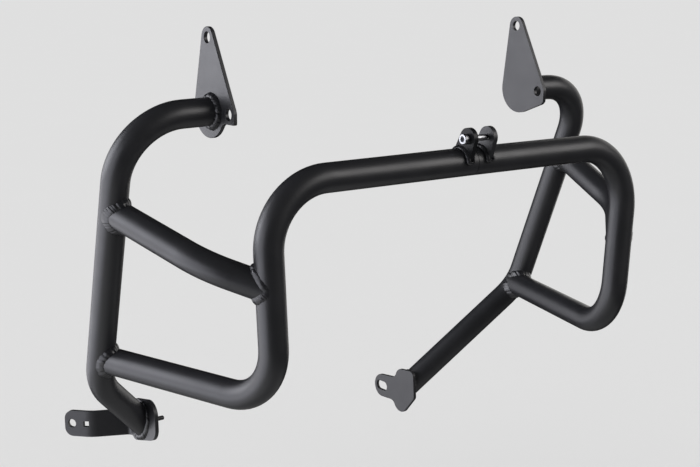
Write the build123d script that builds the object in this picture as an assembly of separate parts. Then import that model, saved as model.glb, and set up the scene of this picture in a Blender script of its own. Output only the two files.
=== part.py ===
from build123d import *
import os

# Motorcycle crash bars: two mirrored welded tube halves, bolted together at the front.
# Origin on the common axis of the two upper mounting holes, halfway between the plates.
# +X is the rider's left, -Y is forward, +Z is up.
os.makedirs("parts", exist_ok=True)

# Width of a half, from the centre plane to the upright's axis at the shoulder
half_width = 292.4

# Steel tube, the same for every run
tube_od = 27.0
tube_wall = 2.0
tube_r = tube_od / 2
upper_bend_radius_left = 67.0
upper_bend_radius_right = 58.5
lower_bend_radius = 53.0
knee_bend_radius = 60.0
shoulder_bend_radius_left = 53.0
shoulder_bend_radius_right = 60.0
brace_bend_radius = 90.0

# Front loop of a half: from the joint out, down, and back to the upright
cross_ahead = 147.5
cross_below = 115.0
corner_inboard = 68.0
corner_back = 8.9
corner_drop = 2.4
front_drop = 199.4
foot_inboard = 11.4
foot_back = 3.6
front_corner = Vector(half_width - corner_inboard, corner_back - cross_ahead, -corner_drop - cross_below)
front_foot = front_corner + Vector(-foot_inboard, foot_back, -front_drop)
loop_inboard = 4.0
loop_above_knee = 1.6
joint_seam = 0.5

# Rear tube of a half: top plate, shoulder, upright, knee, leg down to the lower plate
shoulder_ahead = 8.7
shoulder_below = 69.3
upright_inboard = 14.2
upright_back = 87.0
upright_drop = 245.9
shoulder = Vector(half_width, -shoulder_ahead, -shoulder_below)
knee_left = shoulder + Vector(-upright_inboard, upright_back, -upright_drop)
knee_drop_right = 27.1
upright_dir = (knee_left - shoulder).normalized()
knee_right = knee_left + upright_dir * knee_drop_right
leg_dir = Vector(-0.677, 0.313, -0.666).normalized()
loop_landing = knee_left + upright_dir * -loop_above_knee + Vector(-loop_inboard, 0, 0)

# Brace of a half: from the upright forward to the front of the loop; the left one is set steeper
brace_down_upright_left = 85.0
brace_down_upright_right = 94.0
brace_down_front_left = 98.0
brace_down_front_right = 92.5
brace_inboard = 0.8
brace_mid_inboard = 32.5
brace_mid_ahead = 86.8
brace_mid_drop = 121.5
brace_mid = shoulder + Vector(-brace_mid_inboard, -brace_mid_ahead, -brace_mid_drop)
front_dir = (front_foot - front_corner).normalized()

# Sheet steel plates
top_plate_t = 4.0
top_plate_inboard = 99.4
top_plate_x = half_width - top_plate_inboard
lower_plate_t = 4.0
lower_plate_inboard_left = 144.0
lower_plate_inboard_right = 78.1
lower_plate_x_left = half_width - lower_plate_inboard_left
lower_plate_x_right = half_width - lower_plate_inboard_right

# Upper plate outline, as forward and up from the upper hole
plate_hole_d = 10.5
lower_hole_y = -35.5
lower_hole_z = -68.6
top_lobe_r = 10.0
tab_r = 9.5
tube_seat_y = -6.0
tube_seat_z = -68.0
seat_lobe_r = 26.0
right_lobe_y = -1.0
right_lobe_z = -67.0
right_lobe_r = 26.5
tab_toe_r = 5.0
tab_toe_drop = 11.0
notch_fillet = 8.0

# Lower plate of the left half
leg_end_left = knee_left + leg_dir * ((lower_plate_x_left + lower_plate_t - knee_left.X) / leg_dir.X)
slot_back = 42.0
slot_below = 7.0
slot_length = 20.0
slot_width = 11.0
lug_r = 14.0
lug_neck_r = 15.0
plate_fillet = 9.0

# Lower bracket of the right half, one bent sheet with a strap
leg_end_right = knee_right + leg_dir * ((lower_plate_x_right + lower_plate_t - knee_right.X) / leg_dir.X)
strap_width = 27.6
strap_root_back = 25.0
strap_root_below = 8.3
strap_inner_run = 41.2
strap_outer_run = 29.6
strap_inner_angle = 64.0
strap_outer_angle = 38.0
strap_dip = 2.0
strap_bend_r = 8.0
strap_tip_r = 9.0
strap_hole_d = 9.0
strap_hole_from_tip = 8.2
strap_square = 6.0
strap_square_from_tip = 24.2
pin_d = 4.5
pin_proud = 9.8
pin_ahead = 24.5
pin_above = 7.0

# Joint ears and their screw
ear_t = 5.0
ear_x = 9.5
ear_lean = 24.4
ear_clear = 11.7
ear_reach = tube_r + ear_clear
ear_r = 10.2
ear_foot_half = 12.0
screw_d = 6.0
screw_clearance = 0.6
head_d = 10.0
head_h = 6.0
socket_af = 5.0
socket_depth = 3.2
screw_length = 30.0

# Weld beads
bead = 4.0
bead_sides = 16
bead_stop = 0.3


def run_path(points, radius):
    if len(points) == 2:
        return Wire([Line(points[0], points[1]).edge()])
    line = FilletPolyline(*points, radius=radius)
    return Wire(line.edges())


def collar(points, r):
    # A many-sided sleeve round a straight run, for the outside of a weld bead
    start = Plane(origin=points[0], z_dir=points[1] - points[0])
    return extrude(start * RegularPolygon(r, bead_sides), amount=(points[1] - points[0]).length)


def rod(points, radius, r):
    path = run_path(points, radius)
    start = Plane(origin=path @ 0, z_dir=path % 0)
    return sweep(start * Circle(r), path=path)


def slab(x_from, x_to, z_from=-2 * half_width, z_to=half_width):
    # A block across the whole depth of the part, used to trim ends square to X
    middle = Pos((x_from + x_to) / 2, 0, (z_from + z_to) / 2)
    return middle * Box(abs(x_to - x_from), 4 * half_width, z_to - z_from)


def plate_from(outline, x_inner, thickness):
    # The sketch is drawn with its x as the part's Y and its y as the part's Z
    plane = Plane(origin=(x_inner, 0, 0), x_dir=(0, 1, 0), z_dir=(1, 0, 0))
    return extrude(plane * outline, amount=thickness)


def rounded_hull(discs):
    edges = []
    for y, z, r in discs:
        edges.extend((Pos(y, z) * Circle(r)).edges())
    return make_hull(edges)


def hollow_fillet(outline, r):
    # Rounds the inward corners only: out by r, then back by r
    return offset(offset(outline, amount=r), amount=-r)


def only_solid(shape):
    return max(shape.solids(), key=lambda s: s.volume)


front_points = [
    Vector(-front_corner.X, front_corner.Y, front_corner.Z) * 0.1 + Vector(0, -cross_ahead, -cross_below) * 0.9,
    front_corner,
    front_foot,
    loop_landing,
]
brace_offset = Vector(-brace_inboard, 0, 0)
brace_run_left = [
    shoulder + upright_dir * brace_down_upright_left + brace_offset,
    brace_mid,
    front_corner + front_dir * brace_down_front_left,
]
brace_run_right = [
    shoulder + upright_dir * brace_down_upright_right + brace_offset,
    brace_mid,
    front_corner + front_dir * brace_down_front_right,
]
top_face = top_plate_x + top_plate_t
top_end = Vector(top_face, tube_seat_y, tube_seat_z)
top_run_dir = (shoulder - top_end).normalized()
overrun = 1.1 * tube_od


def rear_points(knee, leg_end):
    return [top_end - top_run_dir * overrun, shoulder, knee, leg_end + leg_dir * overrun]


def rear_rod(knee, leg_end, plate_x, bends, r):
    # The run is made too long at both ends and cut flat against the two plates
    body = rod(rear_points(knee, leg_end), bends, r)
    body = body - slab(top_face - 3 * tube_od, top_face, shoulder.Z - 1.5 * tube_od, shoulder.Z + 1.5 * tube_od)
    leg_face = plate_x + lower_plate_t
    return body - slab(leg_face - 3 * tube_od, leg_face, leg_end.Z - 3.4 * tube_od, leg_end.Z + 1.5 * tube_od)


rear_bends_left = [shoulder_bend_radius_left, knee_bend_radius]
rear_bends_right = [shoulder_bend_radius_right, knee_bend_radius]
rear_solid_left = rear_rod(knee_left, leg_end_left, lower_plate_x_left, rear_bends_left, tube_r)
rear_solid_right = rear_rod(knee_right, leg_end_right, lower_plate_x_right, rear_bends_right, tube_r)
front_bends_left = [upper_bend_radius_left, lower_bend_radius]
front_bends_right = [upper_bend_radius_right, lower_bend_radius]
from_seam = slab(joint_seam / 2, 2 * half_width)
front_solid_left = rod(front_points, front_bends_left, tube_r) & from_seam
front_solid_right = rod(front_points, front_bends_right, tube_r) & from_seam
brace_solid_left = rod(brace_run_left, brace_bend_radius, tube_r)
brace_solid_right = rod(brace_run_right, brace_bend_radius, tube_r)
bore_r = tube_r - tube_wall


def rear_tube(knee, leg_end, plate_x, bends, outer):
    return only_solid(outer - rear_rod(knee, leg_end, plate_x, bends, bore_r))


def front_tube(bends, outer, rear_outer):
    body = outer - rod(front_points, bends, bore_r)
    return only_solid(body - rear_outer)


def brace_tube(run, outer, rear_outer, front_outer):
    body = outer - rod(run, brace_bend_radius, bore_r)
    body = body - rear_outer - front_outer
    return only_solid(body)


def top_plate(straight_bottom):
    crown = (0, 0, top_lobe_r)
    tab = (lower_hole_y, lower_hole_z, tab_r)
    toe = (lower_hole_y - tab_r + tab_toe_r, lower_hole_z - tab_toe_drop, tab_toe_r)
    if straight_bottom:
        outline = rounded_hull([crown, tab, (tube_seat_y, tube_seat_z, seat_lobe_r), toe])
    else:
        corner = 2.0
        foot_y = lower_hole_y - tab_r
        foot_z = lower_hole_z - tab_r
        front = [
            crown,
            tab,
            (foot_y + corner, foot_z + corner, corner),
            (lower_hole_y + tab_r, foot_z + corner, corner),
        ]
        lobe = rounded_hull([crown, (right_lobe_y, right_lobe_z, right_lobe_r)])
        outline = hollow_fillet(lobe + rounded_hull(front), notch_fillet)
    holes = Circle(plate_hole_d / 2) + Pos(lower_hole_y, lower_hole_z) * Circle(plate_hole_d / 2)
    return plate_from(outline - holes, top_plate_x, top_plate_t)


def lower_plate_left():
    y = leg_end_left.Y
    z = leg_end_left.Z
    body = rounded_hull([
        (y - 12.5, z + 17.5, 7.0),
        (y + 3.0, z + 11.0, 12.0),
        (y - 15.0, z - 6.0, 6.0),
        (y + 5.0, z - 17.8, 13.2),
    ])
    lug = rounded_hull([
        (y + 4.0, z - 4.0, lug_neck_r),
        (y + slot_back, z - slot_below, lug_r),
    ])
    outline = hollow_fillet(body + lug, plate_fillet)
    slot = Pos(y + slot_back, z - slot_below) * SlotOverall(slot_length, slot_width)
    return plate_from(outline - slot, lower_plate_x_left, lower_plate_t)


def strap_profile():
    # Drawn from above: along the plate, out at the first bend, back a little at the second
    x0 = lower_plate_x_right + lower_plate_t / 2
    y0 = leg_end_right.Y + strap_root_back
    inner = Vector(strap_inner_run, 0).rotate(Axis.Z, 90 - strap_inner_angle)
    outer = Vector(strap_outer_run, 0).rotate(Axis.Z, 90 - strap_outer_angle)
    p0 = Vector(x0, y0 - 14.0)
    p1 = Vector(x0, y0)
    p2 = p1 + inner
    p3 = p2 + outer
    return [p0, p1, p2, p3]


def strap():
    points = strap_profile()
    line = FilletPolyline(*[(p.X, p.Y) for p in points], radius=strap_bend_r)
    ribbon = trace(line, line_width=lower_plate_t)
    z = leg_end_right.Z - strap_root_below
    body = Pos(0, 0, z - strap_width / 2) * extrude(ribbon, amount=strap_width)
    tip = points[3]
    along = (points[3] - points[2]).normalized()
    across = Vector(-along.Y, along.X)
    tip_edges = [
        e for e in body.edges()
        if (Vector(e.center().X, e.center().Y) - tip).length < 1.0 and e.length < lower_plate_t + 0.5
        and abs(abs((e % 0.5).dot(across)) - 1) < 0.01
    ]
    body = fillet(tip_edges, strap_tip_r)
    face = Plane(origin=(tip.X, tip.Y, z), x_dir=(along.X, along.Y, 0), z_dir=(across.X, across.Y, 0))
    round_hole = face * Pos(-strap_hole_from_tip, 0, 0) * Cylinder(strap_hole_d / 2, 12.0)
    square_hole = face * Pos(-strap_square_from_tip, 0, 0) * Box(strap_square, strap_square, 12.0)
    body = body - round_hole - square_hole
    hinge = Axis((0, points[1].Y, z), (1, 0, 0))
    return body.rotate(hinge, -strap_dip)


def lower_bracket_right():
    y = leg_end_right.Y
    z = leg_end_right.Z
    outline = rounded_hull([
        (y - 16.5, z + 10.5, 15.0),
        (y - 17.0, z - 2.0, 15.0),
        (y + 11.5, z - 15.5, 9.0),
        (y + 8.0, z + 12.0, 9.0),
    ])
    hole = Pos(y - pin_ahead, z + pin_above) * Circle(pin_d / 2)
    body = plate_from(outline - hole, lower_plate_x_right, lower_plate_t)
    return only_solid(body + strap())


def joint_ear(hole_d):
    # Drawn upright over the tube's axis, then leaned forward
    corner = 1.0
    foot = 5.0
    outline = rounded_hull([
        (0, ear_reach, ear_r),
        (-ear_foot_half + corner, foot, corner),
        (ear_foot_half - corner, foot, corner),
    ])
    outline = outline - Pos(0, ear_reach) * Circle(hole_d / 2)
    body = plate_from(outline, ear_x, ear_t)
    body = body.rotate(Axis.X, ear_lean)
    body = Pos(0, -cross_ahead, -cross_below) * body
    return only_solid(body - front_solid_left)


def plate_bead(run, x_face, tube_outer):
    # Two steps, so that the bead leans in from the plate to the tube
    low = collar(run, tube_r + bead) & slab(x_face, x_face + bead * 0.5)
    high = collar(run, tube_r + bead * 0.55) & slab(x_face, x_face + bead)
    return only_solid(low + high - tube_outer)


def near(solids, centre, reach):
    kept = [s for s in solids if (s.center() - centre).length < reach]
    return max(kept, key=lambda s: s.volume)


def tube_bead(run_a, grown_b, grow, solid_a, solid_b, centre):
    # Bead round the coped end of run A where it lands on run B
    ring = (collar(run_a, tube_r + grow) & grown_b) - solid_a - solid_b
    return near(ring.solids(), centre, 1.5 * tube_od)


def ear_bead(ear):
    grown = Pos(ear_x + ear_t / 2, -cross_ahead, -cross_below) * (
        Rot(ear_lean, 0, 0) * Pos(0, 0, 10.0) * Box(ear_t + 5.0, 2 * ear_foot_half + 2.0, 20.0)
    )
    shell = collar(front_points[:2], tube_r + 2.5)
    return only_solid((grown & shell) - front_solid_left - ear)


def save(shape, name):
    export_step(shape, f"parts/{name}.step")


def mirrored(shape):
    return mirror(shape, about=Plane.YZ)


# The screw passes through the right ear and is threaded into the left one
ear = joint_ear(screw_d)
clear_ear = joint_ear(screw_d + screw_clearance)
front_left = front_tube(front_bends_left, front_solid_left, rear_solid_left)
front_right = front_tube(front_bends_right, front_solid_right, rear_solid_right)
brace_left = brace_tube(brace_run_left, brace_solid_left, rear_solid_left, front_solid_left)
brace_right = brace_tube(brace_run_right, brace_solid_right, rear_solid_right, front_solid_right)

save(front_left, "left_front_tube")
rear_left = rear_tube(knee_left, leg_end_left, lower_plate_x_left, rear_bends_left, rear_solid_left)
save(rear_left, "left_rear_tube")
save(brace_left, "left_brace_tube")
save(top_plate(True), "left_top_plate")
save(lower_plate_left(), "left_lower_plate")
save(ear, "left_joint_ear")

save(mirrored(front_right), "right_front_tube")
rear_right = rear_tube(knee_right, leg_end_right, lower_plate_x_right, rear_bends_right, rear_solid_right)
save(mirrored(rear_right), "right_rear_tube")
save(mirrored(brace_right), "right_brace_tube")
save(mirrored(top_plate(False)), "right_top_plate")
save(mirrored(lower_bracket_right()), "right_lower_bracket")
save(mirrored(clear_ear), "right_joint_ear")

# Weld beads, left half then right half
beads = {}
for side, knee, leg_end, plate_x, bends, rear_outer, front_outer, brace_run, brace_outer in (
    ("left", knee_left, leg_end_left, lower_plate_x_left, rear_bends_left, rear_solid_left,
     front_solid_left, brace_run_left, brace_solid_left),
    ("right", knee_right, leg_end_right, lower_plate_x_right, rear_bends_right, rear_solid_right,
     front_solid_right, brace_run_right, brace_solid_right),
):
    brace_top, brace_mid, brace_end = brace_run
    loop_dir = (front_foot - loop_landing).normalized()
    brace_dir = (brace_mid - brace_top).normalized()
    brace_end_dir = (brace_mid - brace_end).normalized()
    stop = bead_stop * tube_r
    top_run = [top_end - Vector(bead, 0, 0), top_end + Vector(tube_od, 0, 0)]
    leg_run = [leg_end + leg_dir * tube_od, leg_end - leg_dir * tube_od]
    loop_run = [loop_landing + loop_dir * 1.5 * tube_od, loop_landing + loop_dir * stop]
    brace_rear = [brace_top + brace_dir * 1.5 * tube_od, brace_top + brace_dir * stop]
    brace_front = [brace_end + brace_end_dir * tube_od, brace_end + brace_end_dir * stop]
    axis_spot = brace_top - brace_offset
    upright_axis = [axis_spot - upright_dir * 1.3 * tube_od, axis_spot + upright_dir * 1.3 * tube_od]
    front_run = [brace_end - front_dir * 1.3 * tube_od, brace_end + front_dir * 1.3 * tube_od]
    grown_rear = rod(rear_points(knee, leg_end), bends, tube_r + bead * 0.8)
    beads[f"{side}_top_weld"] = plate_bead(top_run, top_face, rear_outer)
    beads[f"{side}_lower_weld"] = plate_bead(leg_run, plate_x + lower_plate_t, rear_outer)
    beads[f"{side}_loop_weld"] = tube_bead(
        loop_run, grown_rear, bead * 0.8, front_outer, rear_outer, loop_landing + loop_dir * tube_r
    )
    beads[f"{side}_brace_rear_weld"] = tube_bead(
        brace_rear, collar(upright_axis, tube_r + bead * 0.8), bead * 0.8,
        brace_outer, rear_outer, brace_top + brace_dir * tube_r,
    )
    beads[f"{side}_brace_front_weld"] = tube_bead(
        brace_front, collar(front_run, tube_r + bead * 0.5), bead * 0.5,
        brace_outer, front_outer, brace_end + brace_end_dir * tube_r,
    )
    beads[f"{side}_ear_weld"] = ear_bead(ear)
for name, shape in beads.items():
    save(shape if name.startswith("left") else mirrored(shape), name)

# Stop pin in the right lower bracket
pin_y = leg_end_right.Y - pin_ahead
pin_z = leg_end_right.Z + pin_above
pin_start = lower_plate_x_right + lower_plate_t
pin = Pos(0, pin_y, pin_z) * extrude(
    Plane(origin=(pin_start, 0, 0), z_dir=(-1, 0, 0)) * Circle(pin_d / 2), amount=lower_plate_t + pin_proud
)
pin = chamfer(pin.faces().sort_by(Axis.X)[0].edges(), 0.8)
save(mirrored(pin), "right_stop_pin")

# Joint screw, its head on the right half's ear
leaned = Vector(0, ear_reach).rotate(Axis.Z, -ear_lean)
seat_x = ear_x + ear_t
along_x = Plane(
    origin=(-seat_x, -cross_ahead - leaned.X, -cross_below + leaned.Y), x_dir=(0, 1, 0), z_dir=(1, 0, 0)
)
head = along_x.offset(-head_h) * extrude(Circle(head_d / 2), amount=head_h)
head = chamfer(head.faces().sort_by(Axis.X)[0].edges(), 0.7)
socket = along_x.offset(-head_h) * extrude(RegularPolygon(socket_af / 2, 6, major_radius=False), amount=socket_depth)
shank = along_x * extrude(Circle(screw_d / 2), amount=screw_length)
shank = chamfer(shank.faces().sort_by(Axis.X)[-1].edges(), 0.7)
save(head + shank - socket, "joint_screw")
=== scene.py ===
import math
import random
import bmesh
import bpy
from mathutils import Matrix, Vector
from mathutils.bvhtree import BVHTree


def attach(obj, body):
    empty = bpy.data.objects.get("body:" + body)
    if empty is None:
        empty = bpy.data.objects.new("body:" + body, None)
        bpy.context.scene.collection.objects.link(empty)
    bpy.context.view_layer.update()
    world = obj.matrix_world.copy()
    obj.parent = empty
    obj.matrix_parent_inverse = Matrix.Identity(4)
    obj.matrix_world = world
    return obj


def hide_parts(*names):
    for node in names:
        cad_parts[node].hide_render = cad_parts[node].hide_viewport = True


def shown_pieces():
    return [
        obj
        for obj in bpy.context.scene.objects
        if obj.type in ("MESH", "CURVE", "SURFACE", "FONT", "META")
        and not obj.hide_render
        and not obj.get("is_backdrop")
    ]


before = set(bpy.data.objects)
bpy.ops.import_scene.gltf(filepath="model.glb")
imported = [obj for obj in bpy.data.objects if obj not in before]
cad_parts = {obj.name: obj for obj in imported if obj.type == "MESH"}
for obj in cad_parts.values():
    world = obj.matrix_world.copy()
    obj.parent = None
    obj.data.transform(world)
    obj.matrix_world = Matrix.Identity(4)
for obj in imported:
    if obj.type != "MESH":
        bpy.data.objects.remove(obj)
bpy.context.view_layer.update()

# Bent tubes
# Front loops, rear tubes and braces: round steel tube, 27 mm outside, bent on a die, welded and
# then powder coated satin black. The coat is sprayed on dry and baked.
mm = 0.001


def linear(code):
    # sRGB hex colour to the linear values that a shader takes
    out = []
    for i in (1, 3, 5):
        c = int(code[i:i + 2], 16) / 255
        out.append(c / 12.92 if c <= 0.04045 else ((c + 0.055) / 1.055) ** 2.4)
    return (*out, 1.0)


def add(tree, kind, settings=None, values=None, links=None):
    # One shader node: its settings by name, and its sockets' values and links by name or number
    node = tree.nodes.new(kind)
    for key, value in (settings or {}).items():
        setattr(node, key, value)
    for key, value in (values or {}).items():
        node.inputs[key].default_value = value
    for key, source in (links or {}).items():
        tree.links.new(source, node.inputs[key])
    return node


def bare_material(name):
    material = bpy.data.materials.new(name)
    material.use_nodes = True
    material.node_tree.nodes.clear()
    return material, material.node_tree


def powder_coat(name, dark, light, cloud, peel, smooth, rough, depth, specular=0.5):
    # Baked polyester powder: clouds in colour and gloss where the gun passed, and orange peel in relief.
    # cloud and peel are their sizes as drawn; smooth and rough bound the roughness; depth is the relief
    material, tree = bare_material(name)
    where = add(tree, "ShaderNodeTexCoord").outputs["Object"]
    clouds = add(tree, "ShaderNodeTexNoise", values={"Scale": 1 / cloud, "Detail": 3.0},
                 links={"Vector": where})
    grain = add(tree, "ShaderNodeTexNoise", values={"Scale": 1 / peel, "Detail": 2.0},
                links={"Vector": where})
    share = clouds.outputs["Fac"]
    # A mix of two colours takes them at sockets 6 and 7, and gives the result at output 2
    colour = add(tree, "ShaderNodeMix", {"data_type": "RGBA"}, {6: linear(dark), 7: linear(light)},
                 {"Factor": share})
    gloss = add(tree, "ShaderNodeMapRange", links={"Value": share},
                values={"From Min": 0.3, "From Max": 0.7, "To Min": smooth, "To Max": rough})
    relief = add(tree, "ShaderNodeBump", values={"Strength": depth, "Distance": 0.05 * mm},
                 links={"Height": grain.outputs["Fac"]})
    shader = add(tree, "ShaderNodeBsdfPrincipled", values={"Specular IOR Level": specular}, links={
        "Base Color": colour.outputs[2], "Roughness": gloss.outputs[0], "Normal": relief.outputs[0]})
    add(tree, "ShaderNodeOutputMaterial", links={"Surface": shader.outputs[0]})
    return material


def dress(node, material):
    node.data.materials.clear()
    node.data.materials.append(material)


# Satin black powder on a round bar: one long soft highlight, a little uneven along the tube.
# Real peel is about 0.3 mm across, too fine for the picture, so it is drawn at 0.9 mm, one pixel wide
tube_coat = powder_coat("powder_coat_on_tube", "#191A1C", "#1E1E21", cloud=25 * mm, peel=0.9 * mm,
                        smooth=0.38, rough=0.44, depth=0.2)
for side in ("left", "right"):
    for name in ("front_tube", "rear_tube", "brace_tube"):
        dress(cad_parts[f"{side}_{name}"], tube_coat)

# Flat mounting plates
# Upper plates and the left lower plate: laser-cut steel sheet, 4 mm thick, welded to the tube ends
# and coated with them. The cut edges are blunted before coating, so they shine as a thin soft line.

# The same powder on flats takes a little more peel, so the faces look matt and even grey.
# The peel, 0.3 mm across, is drawn at 0.7 mm to show
plate_coat = powder_coat("powder_coat_on_sheet", "#18191B", "#1D1D20", cloud=18 * mm, peel=0.7 * mm,
                         smooth=0.40, rough=0.46, depth=0.35)
blunt = 0.6 * mm


def blunt_edged(name, width, material, reshape=None):
    # The sheet's own outline again, with flat faces joined into one and each sharp edge rounded off.
    # The last merge takes out the slivers that the rounding leaves
    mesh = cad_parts[name].data.copy()
    mesh.name = f"{name}_soft"
    work = bmesh.new()
    work.from_mesh(mesh)
    bmesh.ops.remove_doubles(work, verts=work.verts, dist=0.002 * mm)
    flat = math.radians(1)
    bmesh.ops.dissolve_limit(work, angle_limit=flat, verts=work.verts, edges=work.edges)
    if reshape:
        reshape(work)
    work.to_mesh(mesh)
    work.free()
    piece = bpy.data.objects.new(f"{name}_soft", mesh)
    bpy.context.scene.collection.objects.link(piece)
    dress(piece, material)
    rounding = piece.modifiers.new("round", "BEVEL")
    rounding.width = width
    rounding.segments = 3
    rounding.limit_method = "ANGLE"
    rounding.angle_limit = math.radians(40)
    rounding.harden_normals = True
    merge = piece.modifiers.new("merge", "WELD")
    merge.merge_threshold = 0.04 * mm
    for face in mesh.polygons:
        face.use_smooth = True
    mesh.set_sharp_from_angle(angle=math.radians(30))
    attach(piece, "root")
    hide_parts(name)
    return piece


def round_toe(work):
    # The left upper plate's front lower corner is cut to a wide round below its lower hole
    hole_y = -35.5 * mm
    hole_z = -68.6 * mm
    toe_r = 10.5 * mm
    toe_below = 5 * mm
    corner_ahead = 1 * mm
    corner_below = 6 * mm
    middle = Vector((0, hole_y, hole_z - toe_below))
    for v in work.verts:
        arm = Vector((0, v.co.y, v.co.z)) - middle
        in_corner = v.co.y < hole_y - corner_ahead and v.co.z < hole_z - corner_below
        if in_corner and arm.length > toe_r:
            spot = middle + arm.normalized() * toe_r
            v.co.y = spot.y
            v.co.z = spot.z


for name in ("right_top_plate", "left_lower_plate"):
    blunt_edged(name, blunt, plate_coat)
blunt_edged("left_top_plate", blunt, plate_coat, reshape=round_toe)

# Right lower bracket and its stop pin
# One strap of the same sheet, welded to the tube's foot and bent back to its two mounting holes.
# It is rolled over a wide former, so its fold shows as a slow change of grey. A short pin stands in it.


def easy_fold(work):
    # The sharp fold is cut into narrow strips, and each strip is laid on the arc of the former
    fold = Vector((-253.3, 157.4, -407.0)) * mm
    fold_slope = 0.0355
    inner = Vector((0.899, -0.438, 0))
    outer = Vector((-0.616, 0.788, 0))
    fold_r = 30 * mm
    half_sheet = 2 * mm
    reach = 20 * mm
    strips = 7
    out_of_fold = -(inner + outer).normalized()
    half_turn = (math.pi - inner.angle(outer)) / 2
    tangent = fold_r * math.tan(half_turn)
    for way in (inner, outer):
        for k in range(strips + 1):
            bmesh.ops.bisect_plane(work, geom=work.verts[:] + work.edges[:] + work.faces[:],
                                   plane_co=fold + way * tangent * k / strips, plane_no=way)
    middle = fold - out_of_fold * fold_r / math.cos(half_turn)
    for v in work.verts:
        rise = v.co.z - fold.z
        arm = v.co - fold - Vector((0, fold_slope * rise, rise))
        side = 1 if arm.dot(outer) > arm.dot(inner) else -1
        way = outer if side > 0 else inner
        along = arm.dot(way)
        if arm.length > reach or along > tangent:
            continue
        face_way = Vector((-way.y, way.x, 0)) * side
        height = math.copysign(half_sheet, arm.dot(face_way))
        turn = half_turn * max(0.0, along) / tangent * side
        spoke = out_of_fold.to_2d()
        spoke.rotate(Matrix.Rotation(-turn, 2))
        v.co.x = middle.x + spoke.x * (fold_r + height)
        v.co.y = middle.y + spoke.y * (fold_r + height) + fold_slope * rise
    bmesh.ops.remove_doubles(work, verts=work.verts, dist=0.2 * mm)


blunt_edged("right_lower_bracket", blunt, plate_coat, reshape=easy_fold)
dress(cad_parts["right_stop_pin"], plate_coat)

# Joint ears
# Two upright lugs of 5 mm steel that stand on the cross tube, one on each half, and carry the screw.
# They are cut, welded on and coated with the tubes.
blunt_edged("left_joint_ear", blunt, plate_coat)

# The right ear takes a darker copy of the same powder with a low specular level: painted shade for the
# shadow that the other ear casts on it.
# Its coarse peel breaks the light into spots. The peel is at its real size
shaded_ear_coat = powder_coat("powder_coat_shaded_on_ear", "#0E0F10", "#141416", cloud=4 * mm, peel=1.8 * mm,
                       smooth=0.26, rough=0.36, depth=1.0, specular=0.14)
# The right ear is dressed in the darker copy of the coat, which paints shade on it
blunt_edged("right_joint_ear", 0.9 * mm, shaded_ear_coat)

# Weld beads round the tubes
# Hand-laid beads of weld steel under the coat, one at each junction: overlapping puddles, uneven in
# width, laid from the end of one tube onto the plate or tube that it meets.

# The coat runs thin over the ripples and stays glossier there, so each puddle catches a small light.
# Its peel, 0.3 mm across, is drawn at 0.8 mm to show
bead_coat = powder_coat("powder_coat_on_weld", "#141517", "#1A1A1D", cloud=6 * mm, peel=0.8 * mm,
                        smooth=0.28, rough=0.36, depth=0.3)
tube_r = 13.5 * mm


def closed_mesh(name, points, faces):
    # A mesh whose faces all look outward
    mesh = bpy.data.meshes.new(name)
    mesh.from_pydata(points, [], faces)
    work = bmesh.new()
    work.from_mesh(mesh)
    bmesh.ops.recalc_face_normals(work, faces=work.faces)
    work.to_mesh(mesh)
    work.free()
    return mesh


def lay_puddles(dice, count):
    # For each puddle: its shift along the seam, its place across, its size and its height
    return [(dice.uniform(-0.3, 0.3), dice.uniform(0.25, 0.75), dice.uniform(0.75, 1.2),
             dice.uniform(0.3, 1.0)) for _ in range(count)]


def spread(puddles, travel):
    # How far the nearest puddles push the bead's toes out; travel counts puddles along the seam
    home = int(travel)
    widest = 0.0
    for k in range(home - 1, home + 2):
        shift, across, size, height = puddles[k % len(puddles)]
        away = min(1.0, abs(travel - k - 0.5 - shift))
        widest = max(widest, size * math.cos(away * math.pi / 2))
    return widest


def crown(puddles, travel, u):
    # Height of the puddles at u across the bead. Each is a low dome with a bowed front, and where
    # two meet the higher one mostly wins, which leaves a crease. A higher blend makes a sharper one
    home = int(travel)
    blend = 5
    half_length = 0.86
    half_width = 0.66
    bow = 0.5
    total = 1e-6
    for k in range(home - 2, home + 3):
        shift, across, size, height = puddles[k % len(puddles)]
        along = travel - k - 0.5 - shift - bow * (u - across) ** 2
        far = (along / (half_length * size)) ** 2 + ((u - across) / half_width) ** 2
        total += (height * math.sqrt(max(0.0, 1 - far))) ** blend
    return total ** (1 / blend)


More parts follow.
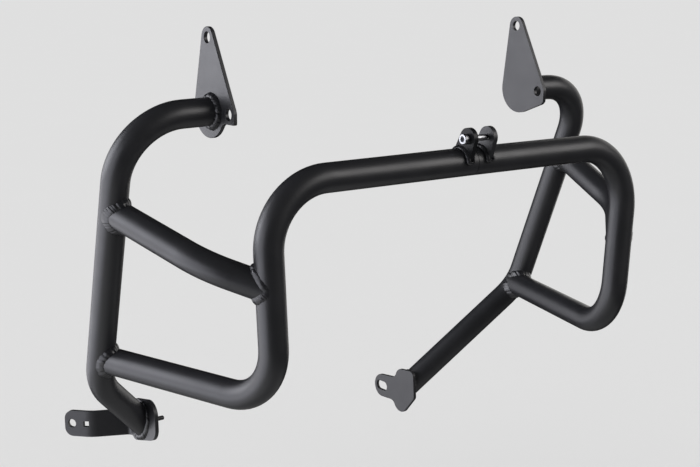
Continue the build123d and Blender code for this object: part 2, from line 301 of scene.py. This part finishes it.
def bead(name, seam, leg, rise, puddle, seed, replaced, skin=None):
    # seam: closed list of (point, normal of one piece, normal of the other, way up the first piece)
    # leg is the bead's mean reach from the seam, rise its crown and puddle the length of one puddle.
    # Its edges bite a little into both pieces, and its root lies below the seam, so no gap shows
    count = len(seam)
    length = sum((seam[i][0] - seam[i - 1][0]).length for i in range(count))
    total = max(4, round(length / puddle))
    pitch = length / total
    puddles = lay_puddles(random.Random(seed), total)
    arc = 12
    narrowest = 0.72
    widening = 0.34
    base = 0.3
    bite = 0.12 * mm
    root = 0.8 * mm
    points = []
    run = 0.0
    for i in range(count):
        spot, side_a, side_b, up = seam[i]
        run += (spot - seam[i - 1][0]).length if i else 0.0
        travel = run / pitch
        out = (side_a + side_b).normalized()
        away = (side_a - side_b * side_a.dot(side_b)).normalized()
        reach = leg * (narrowest + widening * spread(puddles, travel))
        top = spot + up * reach
        low = spot + away * reach
        if skin:
            low = skin.find_nearest(low)[0]
        for j in range(arc + 1):
            u = j / arc
            arch = max(0.0, math.sin(math.pi * u)) ** 0.8
            swollen = rise * (base + crown(puddles, travel, u)) * arch
            points.append(top.lerp(low, u) + out * (swollen - bite))
        points.append(spot - out * root)
    ring = arc + 2
    faces = []
    for i in range(count):
        following = ((i + 1) % count) * ring
        for j in range(ring):
            n = (j + 1) % ring
            faces.append((i * ring + j, i * ring + n, following + n, following + j))
    mesh = closed_mesh(name, points, faces)
    for face in mesh.polygons:
        face.use_smooth = True
    piece = bpy.data.objects.new(name, mesh)
    bpy.context.scene.collection.objects.link(piece)
    dress(piece, bead_coat)
    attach(piece, "root")
    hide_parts(replaced)
    return piece


def landing(axis_from, axis_to, target, steps=260):
    # Where the skin of a tube that runs between two points meets another piece. A ray that misses
    # the piece, or only grazes it, takes the nearest point of its skin. Gives the seam and that skin
    grazing = -0.05
    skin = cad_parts[target].data
    tree = BVHTree.FromPolygons([v.co.copy() for v in skin.vertices],
                                [tuple(f.vertices) for f in skin.polygons])
    way = (axis_to - axis_from).normalized()
    across = way.orthogonal().normalized()
    third = way.cross(across)
    total = (axis_to - axis_from).length
    seam = []
    for i in range(steps):
        t = 2 * math.pi * i / steps
        radial = across * math.cos(t) + third * math.sin(t)
        start = axis_from + radial * tube_r
        hit, normal, index, far = tree.ray_cast(start, way, total)
        if hit is None or normal.dot(way) > grazing:
            hit, normal, index, far = tree.find_nearest(start + way * total)
        seam.append((hit, radial, normal, -way))
    return seam, tree


def on_side(side, v):
    # A point of the rider's left half, on the half asked for
    return v if side == "left" else Vector((-v.x, v.y, v.z))


# Points on the tube axes of the rider's left half
shoulder = Vector((292.4, -8.7, -69.3)) * mm
knee = Vector((278.2, 78.3, -315.2)) * mm
foot = Vector((213.0, -135.0, -316.8)) * mm
corner = Vector((224.4, -138.6, -117.4)) * mm
brace_mid = Vector((259.9, -95.5, -190.8)) * mm
top_end = Vector((197.0, -6.0, -68.0)) * mm
down = (knee - shoulder).normalized()
loop_end = knee - down * 1.6 * mm - Vector((4.0, 0, 0)) * mm
leg_way = Vector((-0.677, 0.313, -0.666)).normalized()
# Where the halves differ: how far down each brace lands, where the leg starts and where it ends
brace_drop = {"left": 85.0 * mm, "right": 94.0 * mm}
front_drop = {"left": 98.0 * mm, "right": 92.5 * mm}
leg_from = {"left": knee, "right": knee + down * 27.1 * mm}
leg_face = {"left": 152.4 * mm, "right": 218.3 * mm}
lower_node = {"left": "left_lower_plate", "right": "right_lower_bracket"}
# How far out each search for a seam starts, and how far past the sheet the one for the leg goes
clear = 40 * mm
past = 30 * mm

seed = 3
for side in ("left", "right"):
    leg_start = leg_from[side]
    leg_end = leg_start + leg_way * ((leg_face[side] - leg_start.x) / leg_way.x)
    brace_end = shoulder + down * brace_drop[side] - Vector((0.8, 0, 0)) * mm
    brace_front = corner + (foot - corner).normalized() * front_drop[side]
    rear_tube = f"{side}_rear_tube"
    front_tube = f"{side}_front_tube"
    loop_way = (foot - loop_end).normalized()
    brace_way = (brace_mid - brace_end).normalized()
    front_way = (brace_mid - brace_front).normalized()
    top_from = top_end + Vector((12, 0, 0)) * mm
    top_to = top_end - Vector((2, 0, 0)) * mm
    # Each weld: where its tube comes from and ends, what it lands on, then leg, rise and puddle in mm
    welds = [
        ("loop_weld", loop_end + loop_way * clear, loop_end, rear_tube, 5.0, 0.6, 4.2),
        ("brace_rear_weld", brace_end + brace_way * clear, brace_end, rear_tube, 5.0, 0.8, 3.0),
        ("brace_front_weld", brace_front + front_way * clear, brace_front, front_tube, 4.2, 0.8, 3.6),
        ("top_weld", top_from, top_to, f"{side}_top_plate", 4.4, 0.9, 3.6),
        ("lower_weld", leg_end - leg_way * past, leg_end + leg_way * past, lower_node[side], 4.2, 1.0, 3.4),
    ]
    for name, axis_from, axis_to, target, leg, rise, puddle in welds:
        seed += 1
        seam, skin = landing(on_side(side, axis_from), on_side(side, axis_to), target)
        bead(f"{side}_{name}_bead", seam, leg * mm, rise * mm, puddle * mm, seed, f"{side}_{name}", skin)

# Weld beads at the joint ears
# Each ear stands on the cross tube in one closed bead of weld steel, smaller than those round the
# tubes. It is laid along both faces of the ear and round its two ends, and coated with the rest.
cross_y = -147.5 * mm
cross_z = -115.0 * mm
ear_near = 9.5 * mm
ear_far = 14.5 * mm
foot_front = math.radians(84)
foot_back = math.radians(-36)


def on_cross_tube(x, turn):
    # A point of the cross tube's skin and its normal, with turn counted forward from straight up
    normal = Vector((0, -math.sin(turn), math.cos(turn)))
    return Vector((x, cross_y, cross_z)) + normal * tube_r, normal


def ear_seam(sign):
    # Out along one face of the ear, round its front end, back along the other face, round its back end
    seam = []
    steps = 80
    cap = 16
    for i in range(steps):
        turn = foot_back + (foot_front - foot_back) * i / steps
        spot, normal = on_cross_tube(sign * ear_far, turn)
        seam.append((spot, Vector((sign, 0, 0)), normal, normal))
    for i in range(cap):
        spot, normal = on_cross_tube(sign * (ear_far + (ear_near - ear_far) * i / cap), foot_front)
        along = Vector((0, -math.cos(foot_front), -math.sin(foot_front)))
        lean = (along + Vector((sign * math.cos(math.pi * i / cap), 0, 0))).normalized()
        seam.append((spot, lean, normal, normal))
    for i in range(steps):
        turn = foot_front + (foot_back - foot_front) * i / steps
        spot, normal = on_cross_tube(sign * ear_near, turn)
        seam.append((spot, Vector((-sign, 0, 0)), normal, normal))
    for i in range(cap):
        spot, normal = on_cross_tube(sign * (ear_near + (ear_far - ear_near) * i / cap), foot_back)
        along = Vector((0, math.cos(foot_back), math.sin(foot_back)))
        lean = (along + Vector((-sign * math.cos(math.pi * i / cap), 0, 0))).normalized()
        seam.append((spot, lean, normal, normal))
    return seam


for side, sign, seed in (("left", 1, 41), ("right", -1, 42)):
    bead(f"{side}_ear_bead", ear_seam(sign), 2.6 * mm, 0.6 * mm, 4.0 * mm, seed, f"{side}_ear_weld")

# Joint screw
# A zinc-plated steel cap screw with a hexagon socket, run through both ears to draw the halves
# together. It has a chamfered head, a plain shank between the ears and a rolled thread at its end.

# Bright zinc on steel: pale, a little cloudy, with a hot highlight on the head's rim. The plating's
# marks are about 0.3 mm across, too fine for the picture, so they are drawn at 1.2 mm
material, tree = bare_material("zinc_plated_steel")
plating_mark = 1.2 * mm
where = add(tree, "ShaderNodeTexCoord").outputs["Object"]
marks = add(tree, "ShaderNodeTexNoise", values={"Scale": 1 / plating_mark, "Detail": 3.0},
            links={"Vector": where})
share = marks.outputs["Fac"]
gloss = add(tree, "ShaderNodeMapRange", values={"To Min": 0.34, "To Max": 0.50}, links={"Value": share})
tint = add(tree, "ShaderNodeMix", {"data_type": "RGBA"}, {6: linear("#B4B6B9"), 7: linear("#C6C7C9")},
           {"Factor": share})
dent = add(tree, "ShaderNodeBump", values={"Strength": 0.3, "Distance": 0.05 * mm}, links={"Height": share})
shader = add(tree, "ShaderNodeBsdfPrincipled", values={"Metallic": 1.0}, links={
    "Base Color": tint.outputs[2], "Roughness": gloss.outputs[0], "Normal": dent.outputs[0]})
add(tree, "ShaderNodeOutputMaterial", links={"Surface": shader.outputs[0]})

ear_reach = 25.2 * mm
ear_lean = math.radians(24.4)
screw_y = cross_y - ear_reach * math.sin(ear_lean)
screw_z = cross_z + ear_reach * math.cos(ear_lean)
head_r = 5.0 * mm
head_h = 6.0 * mm
socket_r = 2.9 * mm
socket_depth = 3.2 * mm
core_r = 2.45 * mm
crest_r = 2.98 * mm
pitch = 1.0 * mm
shank = 30.0 * mm
around = 72


def lathe(x, radii):
    # A ring of the screw's skin at one place along it, with one radius for each step round
    ring = []
    for i, r in enumerate(radii):
        t = 2 * math.pi * i / around
        ring.append(Vector((x, screw_y + r * math.cos(t), screw_z + r * math.sin(t))))
    return ring


def hexagon(i):
    # Radius of the socket's wall in one direction
    turn = (360 * i / around) % 60 - 30
    return socket_r * math.cos(math.radians(30)) / math.cos(math.radians(turn))


def turned_head(face, seat):
    # From the socket's floor out over the chamfered rim and down to the seat on the right ear
    socket = [hexagon(i) for i in range(around)]
    rings = [lathe(face + socket_depth, [0.98 * r for r in socket]), lathe(face + 0.35 * mm, socket),
             lathe(face, [r + 0.3 * mm for r in socket])]
    profile = [(face, 0.75), (face + 0.12 * mm, 0.45), (face + 0.42 * mm, 0.12), (face + 0.75 * mm, 0),
               (seat - 0.2 * mm, 0), (seat, 0.2)]
    return rings + [lathe(x, [head_r - cut * mm] * around) for x, cut in profile]


def rolled_thread(start, tip, steps=112):
    # The thread runs out into the plain shank at one end and into the tip at the other
    run_in = 0.6 * mm
    run_out = 0.8 * mm
    rings = []
    for k in range(1, steps + 1):
        x = start + (tip - start) * k / steps
        fade = min(1.0, (x - start) / run_in, (tip - x) / run_out)
        plain = core_r if x > start + pitch else crest_r
        radii = []
        for i in range(around):
            part = ((x - start) / pitch - i / around) % 1.0
            tooth = min(1.0, max(0.0, 1.25 - 2.5 * abs(part - 0.5)))
            cut = core_r + (crest_r - core_r) * tooth
            radii.append(plain + (cut - plain) * fade)
        rings.append(lathe(x, radii))
    return rings


seat = -ear_far
thread_from = 8.5 * mm
rings = turned_head(seat - head_h, seat)
rings += [lathe(seat, [crest_r] * around), lathe(thread_from, [crest_r] * around)]
rings += rolled_thread(thread_from, seat + shank)
last = (len(rings) - 1) * around
faces = [tuple(range(around)), tuple(last + i for i in range(around))]
for k in range(len(rings) - 1):
    for i in range(around):
        n = (i + 1) % around
        faces.append((k * around + i, k * around + n, (k + 1) * around + n, (k + 1) * around + i))
mesh = closed_mesh("joint_screw_turned", [p for ring in rings for p in ring], faces)
screw = bpy.data.objects.new("joint_screw_turned", mesh)
bpy.context.scene.collection.objects.link(screw)
dress(screw, material)
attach(screw, "root")
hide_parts("joint_screw")

# Floor
# A wide sheet of pale studio paper, laid out far under the bars. It is the surroundings and not
# part of the object.

# Matt white paper with no shine, so it gives an even pale ground. Its fibres are under 0.1 mm and
# can't show; what is drawn is a faint drift in tone over about a third of a metre
material, tree = bare_material("studio_paper")
tone_drift = 333 * mm
where = add(tree, "ShaderNodeTexCoord").outputs["Object"]
drift = add(tree, "ShaderNodeTexNoise", values={"Scale": 1 / tone_drift}, links={"Vector": where})
tone = add(tree, "ShaderNodeMix", {"data_type": "RGBA"}, {6: linear("#E8E8E8"), 7: linear("#E9E9E9")},
           {"Factor": drift.outputs["Fac"]})
paper = add(tree, "ShaderNodeBsdfPrincipled", values={"Roughness": 0.9, "Specular IOR Level": 0.0},
            links={"Base Color": tone.outputs[2]})
add(tree, "ShaderNodeOutputMaterial", links={"Surface": paper.outputs[0]})
reach = 60.0
floor_z = -0.62
mesh = bpy.data.meshes.new("floor")
mesh.from_pydata([(-reach, -reach, floor_z), (reach, -reach, floor_z), (reach, reach, floor_z),
                  (-reach, reach, floor_z)], [], [(0, 1, 2, 3)])
floor = bpy.data.objects.new("floor", mesh)
bpy.context.scene.collection.objects.link(floor)
dress(floor, material)
floor.visible_glossy = False
floor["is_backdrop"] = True

# Camera
# It stands 1.4 m ahead and to the rider's right of the bars, a little above the upper holes, and looks
# slightly down. Place, angles and lens are the ones that lay the bars over the photograph.
lens = bpy.data.cameras.new("camera")
lens.sensor_width = 36.0
lens.lens = 70.03
tilt = math.radians(78.743)
pan = math.radians(-36.483)
camera = bpy.data.objects.new("camera", lens)
camera.location = (-0.8452, -1.0992, 0.0678)
camera.rotation_euler = (tilt, 0, pan)
bpy.context.scene.collection.objects.link(camera)
bpy.context.scene.camera = camera

# Light
# A plain bright studio: an even pale surround, and soft panels round the bars that light only the
# bars. The strongest stand to the left and behind left, as seen by the camera, and one ahead right.
world = bpy.data.worlds.new("studio")
world.use_nodes = True
surround = world.node_tree.nodes["Background"]
surround.inputs["Color"].default_value = linear("#F5F5F5")
surround.inputs["Strength"].default_value = 1.0
world.cycles_visibility.glossy = False
bpy.context.scene.world = world
bpy.context.scene.view_settings.view_transform = "Standard"

lit = bpy.data.collections.new("lit_by_panels")
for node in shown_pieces():
    lit.objects.link(node)
middle_of_bars = Vector((0, 0, -0.2))


def panel(name, way, distance, width, height, strength, colour):
    # A soft panel that faces the middle of the bars; sizes in metres, strength in watts a square metre
    light = bpy.data.lights.new(name, "AREA")
    light.shape = "RECTANGLE"
    light.size = width
    light.size_y = height
    light.energy = strength * width * height
    light.color = linear(colour)[:3]
    box = bpy.data.objects.new(name, light)
    box.location = middle_of_bars + Vector(way).normalized() * distance
    box.rotation_euler = (middle_of_bars - box.location).to_track_quat("-Z", "Y").to_euler()
    box.light_linking.receiver_collection = lit
    bpy.context.scene.collection.objects.link(box)
    box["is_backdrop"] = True


panel("left_panel", (-1.0, 0.12, -0.10), 2.0, 1.7, 2.0, 9.5, "#F3F4FF")
panel("rear_left_panel", (-0.55, 0.85, -0.12), 2.0, 1.8, 1.8, 6.8, "#F8F8FF")
panel("high_left_panel", (-0.75, 0.6, 0.25), 2.0, 1.2, 1.2, 14.0, "#F5F6FF")
panel("low_left_panel", (-0.75, 0.45, -0.55), 1.6, 1.2, 1.2, 3.3, "#F8F8FF")
panel("low_front_panel", (-0.7, -0.25, -0.65), 1.6, 1.2, 1.2, 1.8, "#FFFFFF")
panel("front_right_panel", (0.58, -0.72, 0.42), 2.2, 1.6, 1.2, 13.0, "#FFFCFB")
panel("right_panel", (1.0, 0.35, 0.05), 2.0, 1.6, 1.8, 3.8, "#FFFDFA")
panel("low_panel", (-0.1, -0.05, -1.0), 0.8, 1.6, 1.6, 1.1, "#FFFFFF")
